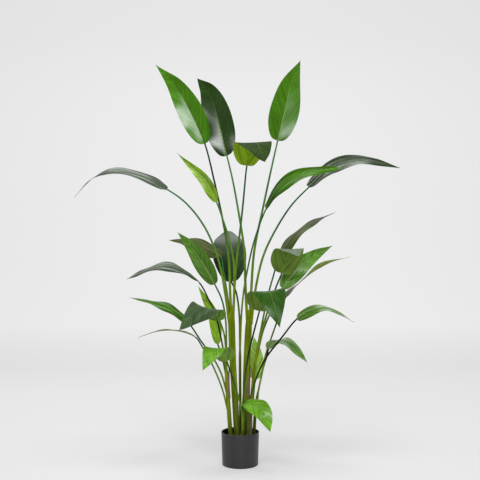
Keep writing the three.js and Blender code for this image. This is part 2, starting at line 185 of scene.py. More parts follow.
charcoal, tree, shader, place = new_material("charcoal_plastic", Specular_IOR_Level=0.4)
mottle = add_group(tree, surface_mottle, {"Place": place, "Patch Size": 0.06, "Grain Size": 0.0009})
across, deep, height = parts(place)
bands = cloud(xyz(times(across, bands_round), times(deep, bands_round), times(height, bands_up)))
away = add_math("SQRT", plus(times(across, across), times(deep, deep)))
at_foot = minus(away, times(height, pot_flare / pot_height))
colour = layered(
    pot_greys["dark"],
    (mottle["Patches"], 0.3, 0.7, pot_greys["light"]),
    (bands, 0.35, 0.65, 0.0, 0.6, pot_greys["band"]),
    # Painted shade on the inside wall of the pot.
    (at_foot, pot_foot - 0.8 * pot_wall, pot_foot - 0.6 * pot_wall, 0.9, 0.0, pot_greys["inside"]),
    # A painted highlight along the rim lip.
    (height, *rim_highlight_band, 0.0, 0.55, pot_greys["rim"]),
    # Painted shade along the bottom edge of the foot.
    (height, *foot_shade_band, 0.6, 0.0, pot_greys["foot"]))
feed(shader, Base_Color=colour, Roughness=spread(mottle["Patches"], 0.2, 0.8, 0.36, 0.46))
add_bump(shader, mottle["Grain"], 0.00012, 0.5)


def add_object(name, mesh):
    made = bpy.data.objects.new(name, mesh)
    bpy.context.scene.collection.objects.link(made)
    return made


def new_piece(name, points, faces, material):
    """A mesh object at the origin, with its place in its points."""
    mesh = bpy.data.meshes.new(name)
    mesh.from_pydata([tuple(p) for p in points], [], faces)
    mesh.materials.append(material)
    mesh.update()
    return add_object(name, mesh)


def turned(profile, sides):
    """Points and faces of a closed profile turned round +Z, with its two ends on the axis."""
    points = [(0, 0, profile[0][1])]
    for radius, z in profile[1:-1]:
        for k in range(sides):
            turn = 2 * math.pi * k / sides
            points.append((radius * math.cos(turn), radius * math.sin(turn), z))
    points.append((0, 0, profile[-1][1]))
    last = 1 + (len(profile) - 3) * sides
    faces = []
    for k in range(sides):
        after = (k + 1) % sides
        faces.append((0, 1 + after, 1 + k))
        for low in range(1, last, sides):
            high = low + sides
            faces.append((low + k, low + after, high + after, high + k))
        faces.append((last + k, last + after, len(points) - 1))
    return points, faces


def rounded(centre_r, centre_z, radius, start, stop, steps=5):
    """Profile points on a small arc, between two angles in degrees."""
    turns = np.radians(np.linspace(start, stop, steps))
    return [(centre_r + radius * math.cos(t), centre_z + radius * math.sin(t)) for t in turns]


rim_middle = pot_rim - pot_wall / 2
inner_foot = pot_foot + pot_flare * pot_floor / pot_height - pot_wall
pot_profile = [(0, 0), (pot_foot * 0.5, 0), (pot_foot - pot_edge - 0.004, 0)]
pot_profile += rounded(pot_foot - pot_edge, pot_edge, pot_edge, -90, 0)
pot_profile += [(pot_foot + pot_flare * i / 8, pot_height * i / 8) for i in range(1, 8)]
pot_profile += rounded(rim_middle, pot_height - pot_wall / 2, pot_wall / 2, 0, 180, 9)
pot_profile += [(pot_rim - pot_wall - pot_flare * i / 8, pot_height * (1 - i / 8)) for i in range(1, 7)]
pot_profile += rounded(inner_foot - pot_fillet, pot_floor + pot_fillet, pot_fillet, 0, -90)
pot_profile += [(inner_foot * 0.5, pot_floor), (0, pot_floor)]
pot = new_piece("pot_shell", *turned(pot_profile, pot_sides), charcoal)
pot.data.shade_smooth()
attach(pot, "root")
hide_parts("pot")


# ---- Soil ------------------------------------------------
# The dark filler that the plant stands in: a domed, uneven plug of peat that fills the pot nearly to
# the rim. Loose crumbs lie all over its top, scattered by Geometry Nodes.

soil_foot = pot_floor + 0.0004
soil_top = 0.118
soil_dome = 0.004
soil_rise = soil_dome * 0.6
soil_gap = 0.001
soil_wall = inner_foot - soil_gap
soil_edge = pot_foot + pot_flare * soil_top / pot_height - pot_wall - soil_gap
soil_sides = 110
soil_rings = 26
# The height of its bumps, and how many there are to a metre.
soil_bumps = (0.0022, 70), (0.0012, 210)
crumb_density = 70000.0
crumb_seed = 7
peat_dark, peat_light = (0.006, 0.005, 0.004), (0.022, 0.015, 0.010)

peat, tree, shader, place = new_material("dark_peat", Roughness=0.95, Specular_IOR_Level=0.2)
mottle = add_group(tree, surface_mottle, {"Place": place, "Patch Size": 0.012, "Grain Size": 0.0012})
feed(shader, Base_Color=layered(peat_dark, (mottle["Patches"], 0.35, 0.7, peat_light)))
add_bump(shader, mottle["Grain"], 0.0008, 0.9)

soil_profile = [(0, soil_foot), (soil_edge * 0.5, soil_foot)]
for up in (0, 0.5, 1):
    soil_profile.append((soil_wall + (soil_edge - soil_wall) * up,
                         soil_foot + (soil_top - soil_dome - soil_foot) * up))
soil_profile += [(soil_edge * out, soil_top + soil_rise * (1 - out**3))
                 for out in (1 - i / soil_rings for i in range(1, soil_rings))]
soil_profile += [(0, soil_top + soil_rise)]
points, faces = turned(soil_profile, soil_sides)
points = [Vector(p) for p in points]
for p in points:
    if p.z > soil_top - 0.001:
        p.z += sum(bump * noise.noise(p * count) for bump, count in soil_bumps)
soil_body = new_piece("soil_body", points, faces, peat)


def finish_tree(geometry, given, result):
    """The end of a Geometry Nodes tree: plain meshes in their material."""
    tree = tree_of(geometry)
    solid = node(tree, "GeometryNodeRealizeInstances", {0: geometry})
    made = node(tree, "GeometryNodeSetMaterial", {0: solid, "Material": given["Material"]})
    tree.links.new(made, result[0])
    return tree


def joined(first, *others):
    """Meshes joined as one."""
    made = add_node(tree_of(first), "GeometryNodeJoinGeometry", {0: first})
    for other in others:
        made.id_data.links.new(other, made.inputs[0])
    return made.outputs[0]


def is_over(value, level):
    inputs = {0: value, 1: level}
    return node(tree_of(value), "FunctionNodeCompare", inputs, operation="GREATER_THAN")


def scaled(vector, factor):
    inputs = {0: vector, "Scale": factor}
    return node(tree_of(vector, factor), "ShaderNodeVectorMath", inputs, operation="SCALE")


def crumb_tree():
    """Crumbs on the upward faces of a mesh, joined to it."""
    tree, given, result = new_group("soil_crumbs", "GeometryNodeTree", {
        "Soil": "Geometry", "Density": 60000.0, "Smallest": 0.0007, "Largest": 0.0026, "Lowest": 0.115,
        "Seed": 1, "Material": "Material"}, ["Soil"])

    def drawn(shift, low, high):
        """Three random numbers for each crumb."""
        inputs = {0: low, 1: high, "Seed": plus(given["Seed"], shift)}
        return node(tree, "FunctionNodeRandomValue", inputs, data_type="FLOAT_VECTOR")

    height = parts(node(tree, "GeometryNodeInputPosition"))["Z"]
    points = node(tree, "GeometryNodeDistributePointsOnFaces", {
        "Mesh": given["Soil"], "Selection": is_over(height, given["Lowest"]), "Density": given["Density"],
        "Seed": given["Seed"]})
    inputs = {2: given["Smallest"], 3: given["Largest"], "Seed": given["Seed"]}
    size = node(tree, "FunctionNodeRandomValue", inputs, 1)
    squash = drawn(1.0, (0.6, 0.6, 0.45), (1.5, 1.0, 0.8))
    turn = drawn(2.0, (0.0, 0.0, 0.0), (6.3, 6.3, 6.3))
    crumb = node(tree, "GeometryNodeMeshIcoSphere", {"Radius": 1.0, "Subdivisions": 1})
    placed = node(tree, "GeometryNodeInstanceOnPoints", {
        "Points": points, "Instance": crumb, "Rotation": turn, "Scale": scaled(squash, size)})
    return finish_tree(joined(placed, given["Soil"]), given, result)


def grown(source, tree, name, values):
    """The plain mesh that a Geometry Nodes tree makes from an object, in that object's place."""
    modifier = source.modifiers.new("grow", "NODES")
    modifier.node_group = tree
    for item in tree.interface.items_tree:
        if item.item_type == "SOCKET" and item.in_out == "INPUT" and item.name in values:
            modifier[item.identifier] = values[item.name]
    graph = bpy.context.evaluated_depsgraph_get()
    mesh = bpy.data.meshes.new_from_object(source.evaluated_get(graph), depsgraph=graph)
    source.modifiers.remove(modifier)
    bpy.data.objects.remove(source)
    mesh.name = name
    return add_object(name, mesh)


soil = grown(soil_body, crumb_tree(), "soil_and_crumbs",
             {"Density": crumb_density, "Seed": crumb_seed, "Material": peat})
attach(soil, "root")
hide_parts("soil")


# ---- Stems and stalks ------------------------------------
# Each shoot is one body: a stem of wrapped, overlapping leaf bases that stands in the soil, and the
# grooved stalks that leave it, one for each leaf. Geometry Nodes sweep both along their lines. The
# lines are in millimetres, as the solids' are, and a point with no height is a foot in the soil.

# How high in the pot a stem's foot is.
stem_depth = 60
# Of each shoot: its stem's radius at the foot and at the top, how dark it is, and its line. A shoot
# with no stem is one stalk that rises from the soil by itself.
stems = {
    "shoot_a": (13, 16.5, 0.1,
        [(-14, -4), (-25, -4, 330), (-33, -4, 470), (-38, -4, 640), (-39, -4, 700)]),
    "shoot_b": (13, 16.5, 0.25, [(24, 8), (25, 8, 300), (30, 8, 460), (38, 8, 615), (41, 8, 680)]),
    "shoot_c": (6.5, 6, 0.6, [(3, 32), (0, 32, 275), (-1, 30, 455), (-1, 30, 540)]),
    "shoot_d": (8, 6.5, 0.05, [(45, -2), (50, -2, 285), (63, 0, 425), (70, 0, 485)]),
    "shoot_e": (10, 9, 0.0, [(-43, 2), (-49, 2, 215), (-55, 2, 300), (-60, 2, 390), (-62, 1, 440)]),
    "shoot_f": (7.5, 6.5, 0.4, [(62, 14), (66, 14, 215), (75, 13, 290), (82, 9, 335)]),
    "shoot_g": (6.5, 5.5, 0.35, [(12, -42), (13, -43, 175), (12, -45, 215)]),
    "shoot_h": None,
    "shoot_i": None,
    "shoot_j": None,
}
# Of each leaf: its shoot, how thick its stalk is at the root, how dark its stalk's upper part is (from
# fresh green at 0, by teal, to nearly black at 1), the way its blade's second half lies at the base,
# the stalk's line, and the blade's rib. The stalk's groove faces the blade's upper side.
leaves = {
    "leaf_01": ("shoot_a", 6.5, 0.8, (-0.85, 0.1, -0.5),
        [(-38, -4, 615), (-44, -4, 745), (-51, 4, 915), (-73, 14, 1055), (-116, 24, 1255)],
        [(-158, 35, 1420), (-221, 85, 1565), (-296, 138, 1695), (-400, 230, 1817)]),
    "leaf_02": ("shoot_b", 6.5, 0.35, (-0.95, 0.17, -0.28),
        [(32, 9, 615), (24, 17, 770), (16, 26, 960), (-5, 38, 1100), (-32, 52, 1250)],
        [(-60, 70, 1370), (-107, 140, 1562), (-143, 200, 1672), (-204, 270, 1759)]),
    "leaf_03": ("shoot_a", 6, 0.6, (1, 0, -0.02),
        [(-32, -6, 615), (-22, -10, 835), (-5, -16, 990), (12, -26, 1145)],
        [(29, -40, 1315), (42, -75, 1379), (67, -150, 1403), (100, -300, 1306)]),
    "leaf_04": ("shoot_b", 6.5, 0.35, (-0.95, 0.1, 0.3),
        [(41, 8, 615), (49, 10, 770), (63, 14, 945), (104, 20, 1145), (137, 25, 1300)],
        [(167, 30, 1433), (202, 75, 1577), (232, 120, 1705), (280, 180, 1824)]),
    "leaf_05": ("shoot_a", 4.5, 0.3, (-0.7, 0.3, -0.62),
        [(-27, -9, 770), (-28, -12, 885), (-49, -18, 995), (-76, -22, 1080)],
        [(-104, -25, 1157), (-150, -10, 1248), (-212, 15, 1312), (-284, 40, 1380)]),
    "leaf_06": ("shoot_a", 6.5, 0.5, (0, -0.91, -0.41),
        [(-47, -6, 615), (-65, -8, 750), (-95, -12, 900), (-155, -15, 1045), (-238, -18, 1152)],
        [(-320, -20, 1212), (-440, -35, 1273), (-566, -50, 1290), (-645, -60, 1255), (-719, -70, 1174)]),
    "leaf_07": ("shoot_c", 5, 0.6, (0, 0.8, 0.58),
        [(-1, 29, 510), (5, 18, 660), (16, 4, 770), (30, -5, 850), (61, -15, 985)],
        [(113, -30, 1126), (167, -55, 1213), (266, -85, 1275), (444, -120, 1299)]),
    "leaf_08": ("shoot_b", 6.5, 0.5, (0, 0.87, 0.53),
        [(48, 8, 615), (67, 12, 770), (101, 18, 915), (146, 24, 1015), (227, 34, 1143)],
        [(308, 40, 1227), (408, 55, 1313), (535, 65, 1350), (718, 60, 1314)]),
    "leaf_09": ("shoot_d", 5, 0.6, (-0.15, 0.88, 0.4),
        [(68, 0, 470), (94, 12, 605), (120, 26, 730), (147, 40, 826)],
        [(172, 50, 905), (229, 68, 993), (306, 95, 1060), (438, 135, 1118)]),
    "leaf_10": ("shoot_d", 5, 0.7, (1, 0.05, 0),
        [(68, -1, 470), (98, -2, 595), (131, 2, 705), (161, 8, 787)],
        [(184, 14, 842), (202, -10, 908), (220, -60, 950), (245, -164, 922)]),
    "leaf_11": ("shoot_d", 4.5, 0.75, (-0.57, 0.36, 0.69),
        [(62, -2, 420), (80, 2, 500), (101, 14, 585), (141, 30, 680), (168, 38, 733)],
        [(189, 40, 774), (264, 58, 865), (333, 92, 918), (428, 150, 965)]),
    "leaf_12": ("shoot_f", 4.5, 0.85, (0, 1, 0.42),
        [(97, 3, 405), (112, 8, 480), (139, 22, 558), (176, 54, 655)],
        [(207, 88, 732), (291, 108, 814), (382, 122, 881), (508, 140, 913)]),
    "leaf_13": ("shoot_h", 5.5, 0.8, (1, 0, 0.05),
        [(7, -26), (12, -32, 268), (21, -45, 388), (38, -68, 505), (61, -95, 603)],
        [(82, -120, 687), (94, -155, 745), (119, -220, 777), (159, -330, 639)]),
    "leaf_14": ("shoot_i", 5, 0.9, (-0.3, 0.85, 0.45),
        [(32, -22), (39, -32, 267), (62, -55, 366), (103, -95, 471), (175, -140, 575)],
        [(240, -165, 659), (292, -185, 695), (372, -205, 705), (470, -225, 650)]),
    "leaf_15": ("shoot_f", 4.5, 0.85, (0.95, 0.6, -0.05),
        [(79, 10, 315), (103, 0, 429), (118, -3, 478)],
        [(126, -5, 510), (162, -35, 553), (212, -60, 542), (288, -100, 464)]),
    "leaf_16": ("shoot_j", 5, 0.2, (-1, 0.1, 0),
        [(45, 30), (53, 30, 232), (61, 29, 313)],
        [(66, 28, 371), (71, 36, 463), (62, 60, 555)]),
    "leaf_17": ("shoot_g", 4.5, 0.5, (0.4, 0.8, 0.25),
        [(12, -43, 165), (14, -44, 205), (14, -48, 250)],
        [(19, -60, 282), (68, -110, 278), (103, -150, 250), (126, -175, 185)]),
    "leaf_18": ("shoot_g", 4.5, 0.7, (1, 0.05, -0.02),
        [(12, -43, 150), (5, -50, 249), (-14, -62, 330), (-36, -80, 403)],
        [(-58, -110, 472), (-75, -150, 520), (-107, -205, 537), (-153, -280, 459)]),
    "leaf_19": ("shoot_e", 4.5, 0.6, (-0.9, 0.1, -0.4),
        [(-59, 4, 370), (-74, 8, 445), (-90, 9, 503)],
        [(-99, 10, 529), (-115, 25, 643), (-190, 70, 783)]),
    "leaf_20": ("shoot_e", 4.5, 0.85, (0.97, 0, -0.25),
        [(-61, 0, 410), (-73, -25, 500), (-86, -60, 577)],
        [(-99, -90, 643), (-116, -130, 687), (-151, -190, 704), (-247, -290, 625)]),
    "leaf_21": ("shoot_e", 4.5, 0.7, (0, -0.88, -0.46),
        [(-56, 0, 300), (-82, -20, 400), (-118, -35, 474), (-172, -55, 553)],
        [(-230, -70, 639), (-298, -90, 695), (-373, -110, 722), (-471, -140, 746)]),
    "leaf_22": ("shoot_e", 4.5, 0.6, (0, -1, 0.12),
        [(-50, 1, 215), (-80, -6, 337), (-129, -14, 455), (-168, -21, 524)],
        [(-196, -25, 564), (-273, -20, 591), (-358, -12, 589), (-453, 0, 559)]),
    "leaf_23": ("shoot_e", 4.5, 0.9, (-0.1, -0.93, -0.33),
        [(-62, 1, 410), (-68, -6, 560), (-91, -10, 637), (-133, -15, 717)],
        [(-180, -20, 803), (-246, -35, 850), (-340, -60, 876), (-489, -90, 822)]),
    "leaf_24": ("shoot_e", 4.5, 0.5, (-0.8, 0.1, -0.6),
        [(-61, 0, 410), (-61, -12, 526), (-64, -20, 638), (-80, -30, 727)],
        [(-112, -35, 797), (-163, -20, 885), (-219, 20, 961), (-283, 70, 1026)]),
    "leaf_25": ("shoot_c", 5, 0.8, (-0.94, -0.34, 0),
        [(-1, 31, 510), (-4, 38, 655), (-18, 50, 755)],
        [(-39, 66, 803), (-49, 98, 881), (-50, 190, 967), (-48, 320, 1033)]),
    "leaf_26": ("shoot_a", 4.5, 0.4, (-0.2, -0.85, -0.5),
        [(-43, 2, 615), (-54, 11, 725), (-66, 24, 805), (-76, 38, 860)],
        [(-87, 50, 914), (-146, 70, 950), (-219, 95, 981), (-325, 120, 989)]),
}
stalk_tip_radius = 3.4
line_steps = 14
# Where a stem starts to narrow, how much it loses and how suddenly.
narrows_at, narrows_by, narrows_power = 0.76, 0.65, 1.3
# How many leaf bases wrap a thick stem and a slim one, and how far up a stalk's colours a stalk that
# rises from the soil by itself starts.
thick_wraps, slim_wraps = 5.0, 3.0
free_stalk_start = 0.25
stem_dark, stem_light = (0.14, 0.20, 0.003), (0.29, 0.38, 0.004)
# The stems' feet get a painted shade, where the crowded stems and the foliage shade them.
stem_foot_shade, stem_shadow = (0.060, 0.085, 0.016), (0.030, 0.060, 0.006)
stalk_root, stalk_green = (0.20, 0.27, 0.010), (0.13, 0.25, 0.020)
stalk_fresh, stalk_teal, stalk_black = (0.11, 0.25, 0.02), (0.020, 0.140, 0.052), (0.004, 0.008, 0.005)
fibre_shadow = (0.015, 0.022, 0.004)


def slope(a, b, c):
    """How fast a centripetal spline passes the middle one of three knots."""
    near, far = np.linalg.norm(b - a) ** 0.5, np.linalg.norm(c - b) ** 0.5
    return (b - a) / near - (c - a) / (near + far) + (c - b) / far


def smooth_line(knots, first=0, last=None):
    """Points in metres on a spline through the knots, and how far along each one is."""
    feet = stem_depth, (soil_top + soil_dome) * 1000
    knots = [p for k in knots for p in ([k] if len(k) == 3 else [(*k, z) for z in feet])]
    knots = [np.array(k, float) for k in knots]
    last = len(knots) - 1 if last is None else last
    ends = [2 * knots[0] - knots[1], *knots, 2 * knots[-1] - knots[-2]]
    points, shares = [], []
    for span in range(first, last):
        before, start, stop, after = ends[span : span + 4]
        pace = np.linalg.norm(stop - start) ** 0.5
        leave, arrive = slope(before, start, stop) * pace, slope(start, stop, after) * pace
        for i in range(line_steps + (span == last - 1)):
            t = i / line_steps
            point = start + leave * t + (3 * (stop - start) - 2 * leave - arrive) * t**2
            point = point + (2 * (start - stop) + leave + arrive) * t**3
            points.append(point / 1000)
            shares.append((span - first + t) / (last - first))
    return np.array(points), np.array(shares)


def line_object(name, lines):
    """Lines as the edges of one mesh. Each has points, and named numbers or directions for them."""
    mesh = bpy.data.meshes.new(name)
    points = np.concatenate([line["points"] for line in lines])
    starts = np.cumsum([0] + [len(line["points"]) for line in lines])
    edges = [(i, i + 1) for a, b in zip(starts, starts[1:]) for i in range(a, b - 1)]
    mesh.from_pydata(points.tolist(), edges, [])
    for key in [k for k in lines[0] if k != "points"]:
        values = np.concatenate([np.asarray(line[key], np.float32) for line in lines])
        kind, field = ("FLOAT_VECTOR", "vector") if values.ndim == 2 else ("FLOAT", "value")
        mesh.attributes.new(key, kind, "POINT").data.foreach_set(field, values.ravel())
    return add_object(name, mesh)


def recall(tree, name, kind="FLOAT"):
    """A number or direction that the points of a mesh carry by name."""
    return node(tree, "GeometryNodeInputNamedAttribute", {"Name": name}, data_type=kind)


def circle(tree, sides):
    return node(tree, "GeometryNodeCurvePrimitiveCircle", {"Resolution": sides, "Radius": 1.0})


def swept(curve, ring):
    """A curve with a ring swept along it, as thick as the curve's girth says."""
    tree = tree_of(curve)
    inputs = {"Curve": curve, "Profile Curve": ring, "Scale": recall(tree, "girth"), "Fill Caps": True}
    return node(tree, "GeometryNodeCurveToMesh", inputs)


def moved_to(place, geometry, chosen=True):
    inputs = {"Geometry": geometry, "Selection": chosen, "Position": place}
    return node(tree_of(place), "GeometryNodeSetPosition", inputs)


def stem_tree():
    """Sweeps lines into wrapped stems, where they are marked as stems, and grooved stalks."""
    tree, given, result = new_group("stems_and_stalks", "GeometryNodeTree", {
        "Lines": "Geometry", "Stem Sides": 48, "Stalk Sides": 20, "Groove Depth": 0.28,
        "Groove Width": 0.55, "Wrap Step": 0.11, "Wraps": 4.0, "Wrap Level": 0.97, "Flute Depth": 0.012,
        "Flutes": 17.0, "Material": "Material"}, ["Shoot"])
    here = node(tree, "GeometryNodeInputPosition")
    toward, across, _ = parts(here)
    turn = add_math("ARCTAN2", across, toward)
    step = minus(0.5, add_math("FRACT", times(turn, over(given["Wraps"], 2 * math.pi))))
    flute = add_math("SINE", times(turn, given["Flutes"]))
    wrapped = plus(times(step, given["Wrap Step"]), given["Wrap Level"])
    wrapped = plus(wrapped, times(flute, given["Flute Depth"]))
    from_groove = over(times(minus(1.0, toward), -2.0), add_math("POWER", given["Groove Width"], 2.0))
    grooved = minus(1.0, times(add_math("EXPONENT", from_groove), given["Groove Depth"]))

    curves = node(tree, "GeometryNodeMeshToCurve", {"Mesh": given["Lines"]})
    inputs = {"Curve": curves, "Normal": recall(tree, "facing", "FLOAT_VECTOR")}
    faced = node(tree, "GeometryNodeSetCurveNormal", inputs, mode="FREE")
    inputs = {0: faced, "Selection": is_over(recall(tree, "is_stem"), 0.5)}
    split = add_node(tree, "GeometryNodeSeparateGeometry", inputs, domain="CURVE").outputs
    rings = ("Stem Sides", wrapped), ("Stalk Sides", grooved)
    shoot = joined(*(swept(curve, moved_to(scaled(here, radius), circle(tree, given[sides])))
                     for curve, (sides, radius) in zip(split, rings)))
    return finish_tree(node(tree, "GeometryNodeSetShadeSmooth", {0: shoot}), given, result)


def add_vector(operation, first, *others, at=0):
    """A sum on directions or places that vary over a piece."""
    inputs = dict(enumerate((first, *others)))
    return node(tree_of(first, *others), "ShaderNodeVectorMath", inputs, at, operation=operation)


def fibre_group():
    """Long fine fibres along +Z, as masks for colour and height."""
    inputs = {"Place": "Vector", "Fibre Width": 0.0012, "Fibre Length": 0.06}
    tree, given, result = new_group("long_fibres", "ShaderNodeTree", inputs, ["Streaks", "Broad Streaks"])
    for factor, label in ((1.0, "Streaks"), (5.0, "Broad Streaks")):
        across = over(1.0 / factor, given["Fibre Width"])
        scale = xyz(across, across, over(1.0 / factor, given["Fibre Length"]))
        tree.links.new(cloud(add_vector("MULTIPLY", given["Place"], scale)), result[label])
    return tree


long_fibres = fibre_group()


def carried(tree, name, output="Fac"):
    """A number or direction that a piece's mesh carries by name, in its material."""
    return node(tree, "ShaderNodeAttribute", at=output, attribute_name=name)


stem_green, tree, shader, place = new_material("stem_green", Specular_IOR_Level=0.06)
strands = add_group(tree, long_fibres, {"Place": place, "Fibre Width": 0.0022, "Fibre Length": 0.12})
up_stalk, darkness = carried(tree, "up_stalk"), carried(tree, "shade")
# The stems darken towards the soil with a painted shade.
stem_tone = layered(stem_dark, (strands["Broad Streaks"], 0.38, 0.62, stem_light),
                    (parts(place)["Z"], 0.11, 0.34, 0.8, 0.0, stem_foot_shade))
stem_tone = add_mix(darkness, stem_tone, stem_shadow)
stalk_top = layered(stalk_fresh, (darkness, 0.0, 0.5, stalk_teal), (darkness, 0.5, 0.85, stalk_black))
stalk_tone = layered(stalk_root, (up_stalk, 0.05, 0.25, stalk_green), (up_stalk, 0.35, 0.75, stalk_top))
colour = add_mix(carried(tree, "is_stem"), stalk_tone, stem_tone)
colour = layered(colour, (strands["Streaks"], 0.35, 0.55, 0.45, 0.0, fibre_shadow))
feed(shader, Base_Color=colour, Roughness=spread(strands["Broad Streaks"], 0.2, 0.8, 0.3, 0.5))
add_bump(shader, strands["Streaks"], 0.0008, 0.8)

stems_and_stalks = stem_tree()
for shoot, stem in stems.items():
    lines = []
    if stem:
        foot_radius, top_radius, darkness, knots = stem
        points, shares = smooth_line(knots)
        girth = foot_radius + (top_radius - foot_radius) * shares
        narrowing = np.clip((shares - narrows_at) / (1 - narrows_at), 0, 1) ** narrows_power
        girth = girth * (1 - narrows_by * narrowing)
        even = np.ones(len(points))
        lines.append({"points": points, "girth": girth / 1000, "up_stalk": shares, "is_stem": even,
                      "facing": np.outer(even, (0.0, 1.0, 0.0)), "shade": even * darkness})
    for parent, root_radius, darkness, across, stalk, rib in leaves.values():
        if parent == shoot:
            points, shares = smooth_line(stalk + rib, 0, len(stalk) + (len(stalk[0]) == 2))
            girth = (root_radius + (stalk_tip_radius - root_radius) * shares) / 1000
            facing = np.cross(np.gradient(points, axis=0), np.array(across))
            facing = facing / np.linalg.norm(facing, axis=1)[:, None]
            upward = shares if stem else free_stalk_start + (1 - free_stalk_start) * shares
            even = np.ones(len(points))
            lines.append({"points": points, "girth": girth, "up_stalk": upward, "is_stem": even * 0,
                          "facing": facing, "shade": even * darkness})
    wraps = thick_wraps if shoot in ("shoot_a", "shoot_b") else slim_wraps
    piece = grown(line_object(shoot + "_lines", lines), stems_and_stalks, shoot + "_stems",
                  {"Wraps": wraps, "Material": stem_green})
    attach(piece, "root")
    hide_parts(shoot)


# ---- Dry sheaths -----------------------------------------
# What is left of old leaf bases: papery brown husks that clasp three of the stems low down. Each is
# a thin curved sheet with a torn edge, which narrows to a point at the top.

sheath_gap = 0.7
sheath_flare = 2.5
sheath_wall = 0.0006
sheath_tear = 0.16
# Where on half a sine wave a sheath's width starts at its foot, and how much of the wave it follows.
sheath_start, sheath_span = 0.16, 0.81
sheath_curl, sheath_unevenness = 0.0011, 0.0003
ripple_height, ripples = 0.00025, 34
sheath_rows, sheath_columns = 60, 25
# Of each sheath: its stem, its lowest and highest point, the way it looks, and how far round it goes.
sheaths = {
    "sheath_1": ("shoot_e", 290, 420, -35, 60),
    "sheath_2": ("shoot_b", 270, 440, -20, 65),
    "sheath_3": ("shoot_d", 128, 235, -95, 60),
}
husk_brown, husk_straw, husk_shadow = (0.18, 0.095, 0.04), (0.54, 0.41, 0.22), (0.03, 0.012, 0.010)

dry_husk, tree, shader, place = new_material("dry_husk", Roughness=0.85, Specular_IOR_Level=0.25)
strands = add_group(tree, long_fibres, {"Place": place, "Fibre Width": 0.0011, "Fibre Length": 0.05})
feed(shader, Base_Color=layered(husk_brown, (strands["Broad Streaks"], 0.3, 0.7, husk_straw),
                                (strands["Streaks"], 0.35, 0.7, 0.6, 0.0, husk_shadow)))
add_bump(shader, strands["Streaks"], 0.0007, 0.9)

for name, (shoot, low, high, looks, reach) in sheaths.items():
    foot_radius, top_radius, _, knots = stems[shoot]
    line, _ = smooth_line(knots)
    points = []
    for share in [i / sheath_rows for i in range(sheath_rows + 1)]:
        z = (low + (high - low) * share) / 1000
        middle = np.array([np.interp(z, line[:, 2], line[:, 0]), np.interp(z, line[:, 2], line[:, 1]), z])
        side = reach * math.sin(math.pi * (sheath_start + sheath_span * share))
        radius = (max(foot_radius, top_radius) + sheath_gap + sheath_flare * share**4) / 1000
        for k in range(sheath_columns):
            v = 2 * k / (sheath_columns - 1) - 1
            torn = 1 + sheath_tear * abs(v) ** 3 * noise.noise(Vector((v, share * 19, low)))
            turn = math.radians(looks + side * v * torn)
            uneven = sheath_unevenness * noise.noise(Vector((v * 5, share * 4, low)))
            curl = sheath_curl * abs(v) ** 4 + uneven
            ripple = ripple_height * math.sin(v * ripples + noise.noise(Vector((share * 3, v, low))) * 3)
            out = radius + curl + ripple
            points.append(middle + np.array([out * math.cos(turn), out * math.sin(turn), 0]))
    corners = [i * sheath_columns + k for i in range(sheath_rows) for k in range(sheath_columns - 1)]
    faces = [(at, at + 1, at + sheath_columns + 1, at + sheath_columns) for at in corners]
    piece = new_piece(name + "_husk", points, faces, dry_husk)
    piece.data.shade_smooth()
    wall = piece.modifiers.new("wall", "SOLIDIFY")
    wall.thickness = sheath_wall
    wall.offset = 1
    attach(piece, "root")
    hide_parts(name)


# ---- Foot fibres -----------------------------------------
# Loose threads of husk and root at the feet of the stems: thin, dry and curled. Each starts on a stem
# just above the soil and trails over the crumbs. Geometry Nodes sweep them from their seeded paths.

fibre_seed = 11
fibres_a_foot = 15
fibre_reach = (0.010, 0.032)
fibre_thickness, fibre_taper = (0.0002, 0.0005), 0.6
fibre_height, fibre_hump, above_soil = (0.004, 0.016), (0, 0.004), 0.0012
fibre_bend, fibre_wiggle, fibre_wiggles = (-1.6, 1.6), (0.1, 0.3), (5, 9)


def fibre_tree():
    """Thin threads along paths, as thick as their girth says."""
    tree, given, result = new_group(
        "foot_fibres", "GeometryNodeTree", {"Paths": "Geometry", "Sides": 4, "Material": "Material"},
        ["Fibres"])
    curves = node(tree, "GeometryNodeMeshToCurve", {"Mesh": given["Paths"]})
    return finish_tree(swept(curves, circle(tree, given["Sides"])), given, result)


draw = np.random.default_rng(fibre_seed)
along = np.linspace(0, 1, 9)
paths = []
for shoot, stem in stems.items():
    stalk = next(row for row in leaves.values() if row[0] == shoot)
    foot_radius, foot = (stem[0], stem[3][0]) if stem else (stalk[1], stalk[4][0])
    for _ in range(fibres_a_foot):
        turn = draw.uniform(0, 2 * math.pi) + draw.uniform(*fibre_bend) * along**2
        turn = turn + draw.uniform(*fibre_wiggle) * np.sin(along * draw.uniform(*fibre_wiggles))
        away = foot_radius / 1000 + draw.uniform(*fibre_reach) * along
        x = foot[0] / 1000 + away * np.cos(turn)
        y = foot[1] / 1000 + away * np.sin(turn)
        out = np.hypot(x, y)
        inside = np.minimum(1, (soil_edge - 0.003) / out)
        ground = soil_top + soil_rise * (1 - (np.minimum(out, soil_edge) / soil_edge) ** 3)
        z = ground + above_soil + draw.uniform(*fibre_height) * (1 - along) ** 2
        z = z + draw.uniform(*fibre_hump) * np.sin(math.pi * along)
        girth = draw.uniform(*fibre_thickness) * (1 - fibre_taper * along)
        paths.append({"points": np.stack([x * inside, y * inside, z], axis=1), "girth": girth})
fibres = grown(line_object("fibre_paths", paths), fibre_tree(), "foot_fibres", {"Material": dry_husk})
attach(fibres, "root")


# ---- Leaf blades -----------------------------------------
# The 26 paddle-shaped leaves: thin, waxy blades of two cupped halves, with a channel above and a keel
# below along the rib, a round base, a pointed tip and gently waved edges. Geometry Nodes shape each
# from its rib's line, by the rule that the solids follow, in millimetres and degrees.

crease_softness = 0.0035
sharp_edge = math.radians(50)
# A blade's rows of points, how many more a wide one has and from what width, in millimetres, and the
# height of long folds, in millimetres, whose painted light and shade show in full in the colour.
blade_rows, more_rows, wide_blade = 110, 40, 120
full_fold = 1.4
